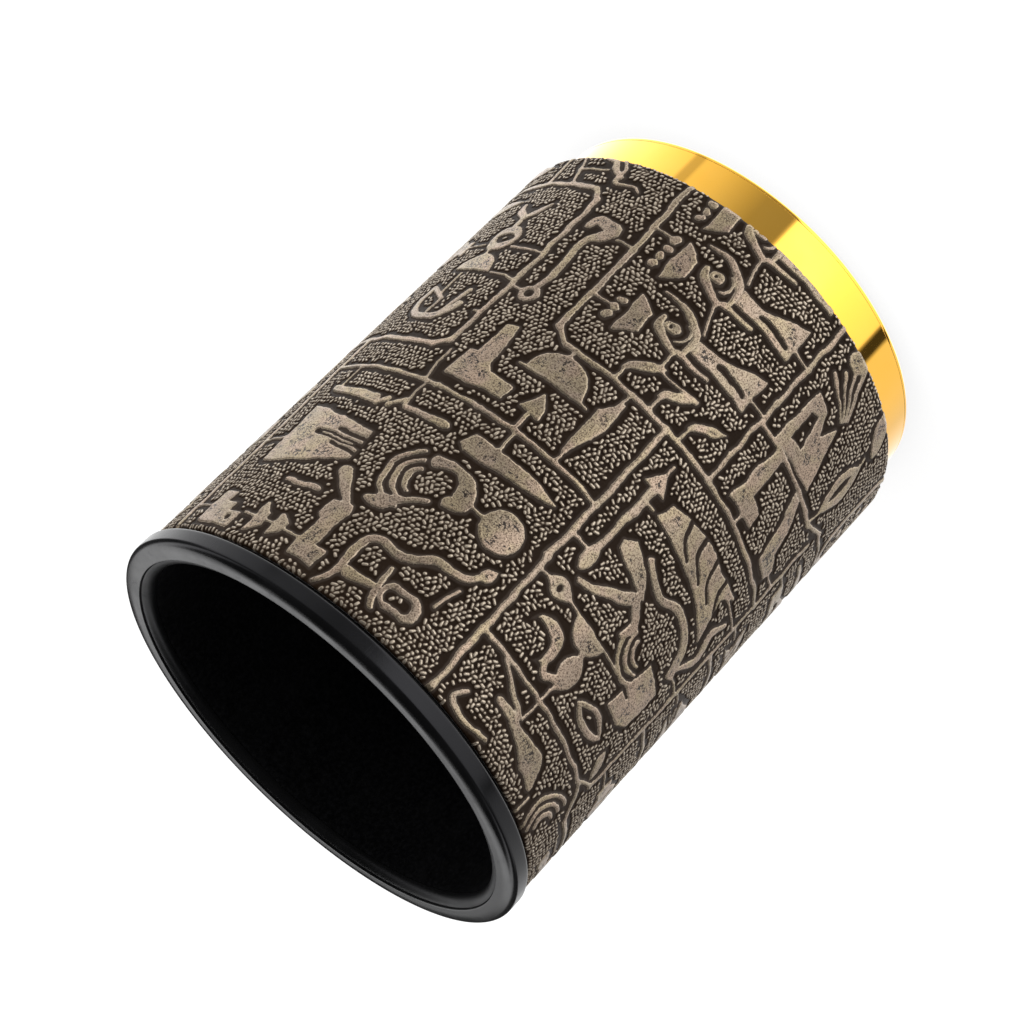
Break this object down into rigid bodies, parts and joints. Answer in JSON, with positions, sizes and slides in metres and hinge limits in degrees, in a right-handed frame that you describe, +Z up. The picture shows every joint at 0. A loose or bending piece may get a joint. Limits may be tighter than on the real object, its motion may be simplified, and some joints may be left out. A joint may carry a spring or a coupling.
{
  "type": "dice cup",
  "caption": "Round dice cup with an embossed leatherette wrap, a black rim bead, a gold-plated base cap and a soft black lining.",
  "frame": {"origin": "centre of the face that the cup stands on, on the cup's axis", "axes": "+Z up along the cup's axis, from the base towards the mouth; the cup is round, so X and Y are free"},
  "size_m": [0.075, 0.075, 0.1],
  "materials": {
    "shell_plastic": "satin moulded black",
    "rim_plastic": "satin moulded black",
    "leatherette": "embossed polyurethane leatherette, dark ground with tan raised tops",
    "flannelette": "brushed black pile",
    "foam": "closed-cell foam sheet",
    "gold_plate": "gold electroplate on moulded plastic, mirror bright",
    "felt": "pressed black felt"
  },
  "bodies": {
    "root": {"cup_shell": "shell_plastic", "rim_ring": "rim_plastic", "leatherette_wrap": "leatherette", "wall_lining": "flannelette", "floor_lining": "flannelette", "floor_pad": "foam", "base_cap": "gold_plate", "base_pad": "felt"}
  },
  "joints": []
}
